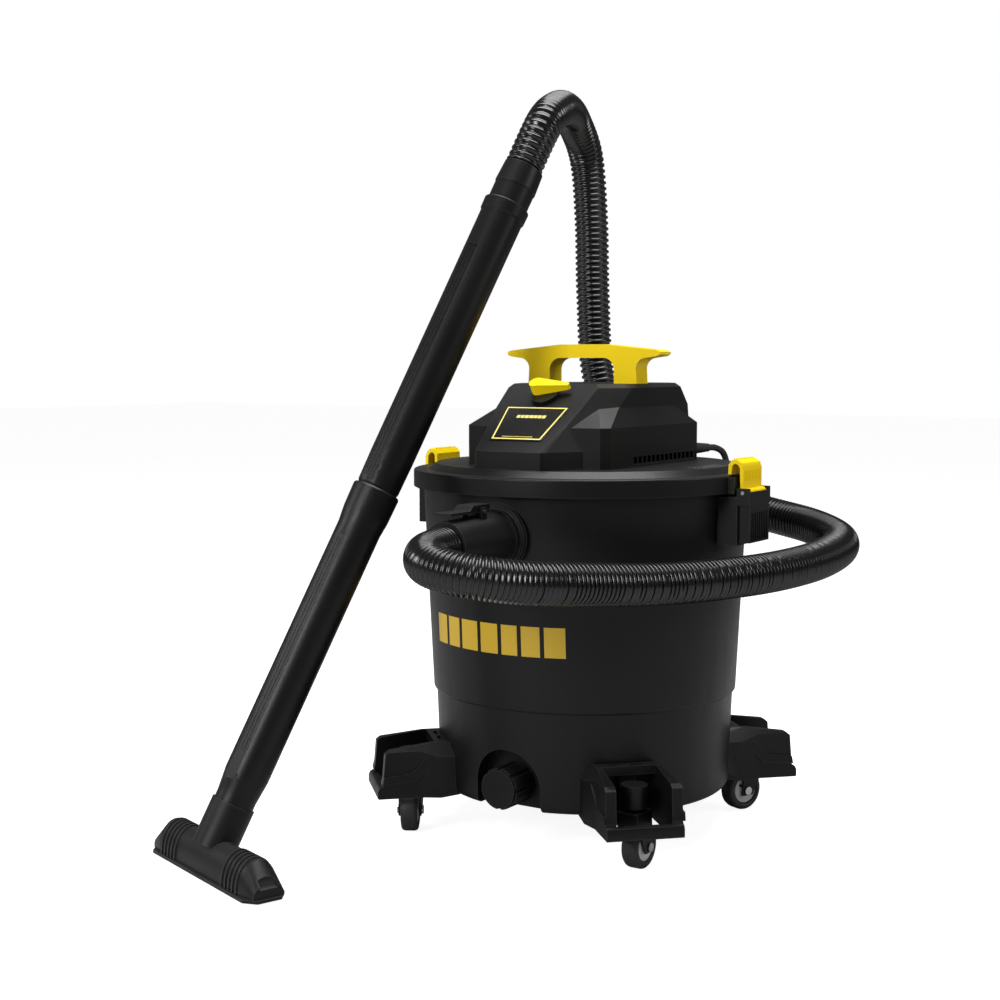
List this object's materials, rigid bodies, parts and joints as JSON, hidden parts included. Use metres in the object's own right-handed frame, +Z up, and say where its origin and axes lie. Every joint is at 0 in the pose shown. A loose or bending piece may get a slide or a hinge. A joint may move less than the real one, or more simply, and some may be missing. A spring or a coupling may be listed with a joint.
{
  "type": "wet and dry shop vacuum",
  "caption": "Round black shop vacuum on casters with a latched powerhead, yellow carry handle and latches, ribbed hose, wand and floor nozzle.",
  "frame": {"origin": "on the floor, on the tank's axis", "axes": "+Z up, -Y towards the front, where the hose port and drain are; +X is the side the hose is wound round"},
  "size_m": [0.641, 0.8361, 0.888],
  "materials": {
    "tank_black": "moulded with a fine matt grain",
    "lid_black": "moulded, satin",
    "cover_black": "moulded, satin",
    "trim_black": "moulded, fine grain",
    "hose_black": "glossy ribbed vinyl",
    "wand_black": "drawn tube, satin",
    "nozzle_black": "moulded, matt",
    "yellow": "moulded, satin yellow",
    "label_black": "printed film with a thin yellow border",
    "wheel_black": "moulded tread",
    "hub_grey": "pale moulded hub disc on each side of a wheel",
    "steel": "turned",
    "motor_steel": "cast and turned",
    "rubber": "soft seal",
    "cord_black": "satin jacket",
    "paper": "pleated filter paper",
    "float_orange": "smooth moulded ball"
  },
  "bodies": {
    "base": {"tank": "tank_black", "inlet_port": "trim_black", "inlet_deflector": "trim_black", "drain_gasket": "rubber", "pod_front_left": "trim_black", "pod_front_right": "trim_black", "pod_rear_left": "trim_black", "pod_rear_right": "trim_black", "latch_keeper_left": "trim_black", "latch_keeper_right": "trim_black", "hinge_pins": "steel", "hose_connector": "trim_black", "hose_tube": "hose_black", "hose_cuff": "hose_black", "floor_nozzle": "nozzle_black", "nozzle_strips": "rubber"},
    "head": {"lid": "lid_black", "lid_gasket": "rubber", "head_cover": "cover_black", "carry_handle": "yellow", "label_plate": "label_black", "switch_body": "trim_black", "motor_body": "motor_steel", "fan_housing": "motor_steel", "motor_bearings": "steel", "float_cage": "trim_black", "vent_grilles": "trim_black", "blower_port": "trim_black", "cover_screws": "steel", "strain_relief": "cord_black", "cord_tube": "cord_black", "cord_coil": "cord_black", "cord_tie": "cord_black", "plug": "cord_black"},
    "knob": {"switch_knob": "yellow"},
    "latch_left": {"latch_lever_left": "yellow"},
    "latch_right": {"latch_lever_right": "yellow"},
    "rotor": {"motor_shaft": "steel", "impeller": "motor_steel"},
    "ball": {"float_ball": "float_orange"},
    "filter": {"filter_media": "paper", "filter_cap": "trim_black", "filter_ring": "trim_black"},
    "drain_lid": {"drain_cap": "trim_black"},
    "lock": {"lock_lever": "trim_black"},
    "wand_upper": {"upper_wand": "wand_black"},
    "wand_lower": {"lower_wand": "wand_black"},
    "caster_front_left": {"caster_fork_front_left": "trim_black", "caster_axle_front_left": "steel"},
    "wheel_front_left": {"caster_wheel_front_left": "wheel_black"},
    "caster_front_right": {"caster_fork_front_right": "trim_black", "caster_axle_front_right": "steel"},
    "wheel_front_right": {"caster_wheel_front_right": "wheel_black"},
    "caster_rear_left": {"caster_fork_rear_left": "trim_black", "caster_axle_rear_left": "steel"},
    "wheel_rear_left": {"caster_wheel_rear_left": "wheel_black"},
    "caster_rear_right": {"caster_fork_rear_right": "trim_black", "caster_axle_rear_right": "steel"},
    "wheel_rear_right": {"caster_wheel_rear_right": "wheel_black"}
  },
  "joints": [
    {"name": "head_lift", "type": "slide", "parent": "base", "child": "head", "axis": [0, 0, 1], "range_m": [0, 0.045]},
    {"name": "knob_turn", "type": "hinge", "parent": "head", "child": "knob", "pos_m": [0, -0.09, 0.51349], "axis": [0, -0.5872, 0.8094], "range_deg": [0, 60]},
    {"name": "latch_left_open", "type": "hinge", "parent": "base", "child": "latch_left", "pos_m": [-0.2185, 0, 0.408], "axis": [0, -1, 0], "range_deg": [0, 85]},
    {"name": "latch_right_open", "type": "hinge", "parent": "base", "child": "latch_right", "pos_m": [0.2185, 0, 0.408], "axis": [0, 1, 0], "range_deg": [0, 85]},
    {"name": "rotor_spin", "type": "hinge", "parent": "head", "child": "rotor", "pos_m": [0, 0, 0.45], "axis": [0, 0, 1], "continuous": true},
    {"name": "float_rise", "type": "slide", "parent": "head", "child": "ball", "axis": [0, 0, 1], "range_m": [0, 0.041]},
    {"name": "filter_pull", "type": "slide", "parent": "head", "child": "filter", "axis": [0, 0, -1], "range_m": [0, 0.15]},
    {"name": "drain_cap_turn", "type": "hinge", "parent": "base", "child": "drain_lid", "pos_m": [0, -0.17, 0.077], "axis": [0, -1, 0], "range_deg": [0, 360]},
    {"name": "lock_press", "type": "hinge", "parent": "base", "child": "lock", "pos_m": [0, -0.2393, 0.394], "axis": [1, 0, 0], "range_deg": [0, 4], "stiffness_Nm_per_rad": 0.4, "springref_deg": -6.88},
    {"name": "upper_wand_turn", "type": "hinge", "parent": "base", "child": "wand_upper", "pos_m": [-0.09496, -0.15847, 0.57417], "axis": [0.2167, 0.4042, 0.8886], "continuous": true},
    {"name": "lower_wand_turn", "type": "hinge", "parent": "base", "child": "wand_lower", "pos_m": [-0.17732, -0.31207, 0.2365], "axis": [0.2167, 0.4042, 0.8886], "continuous": true},
    {"name": "swivel_front_left", "type": "hinge", "parent": "base", "child": "caster_front_left", "pos_m": [-0.14991, -0.14991, 0.08], "axis": [0, 0, 1], "continuous": true},
    {"name": "roll_front_left", "type": "hinge", "parent": "caster_front_left", "child": "wheel_front_left", "pos_m": [-0.14391, -0.1603, 0.025], "axis": [-0.866, -0.5, 0], "continuous": true},
    {"name": "swivel_front_right", "type": "hinge", "parent": "base", "child": "caster_front_right", "pos_m": [0.14991, -0.14991, 0.08], "axis": [0, 0, 1], "continuous": true},
    {"name": "roll_front_right", "type": "hinge", "parent": "caster_front_right", "child": "wheel_front_right", "pos_m": [0.14991, -0.13791, 0.025], "axis": [1, 0, 0], "continuous": true},
    {"name": "swivel_rear_left", "type": "hinge", "parent": "base", "child": "caster_rear_left", "pos_m": [-0.14991, 0.14991, 0.08], "axis": [0, 0, 1], "continuous": true},
    {"name": "roll_rear_left", "type": "hinge", "parent": "caster_rear_left", "child": "wheel_rear_left", "pos_m": [-0.15199, 0.16172, 0.025], "axis": [0.9848, 0.1736, 0], "continuous": true},
    {"name": "swivel_rear_right", "type": "hinge", "parent": "base", "child": "caster_rear_right", "pos_m": [0.14991, 0.14991, 0.08], "axis": [0, 0, 1], "continuous": true},
    {"name": "roll_rear_right", "type": "hinge", "parent": "caster_rear_right", "child": "wheel_rear_right", "pos_m": [0.14484, 0.13903, 0.025], "axis": [-0.9063, 0.4226, 0], "continuous": true}
  ]
}
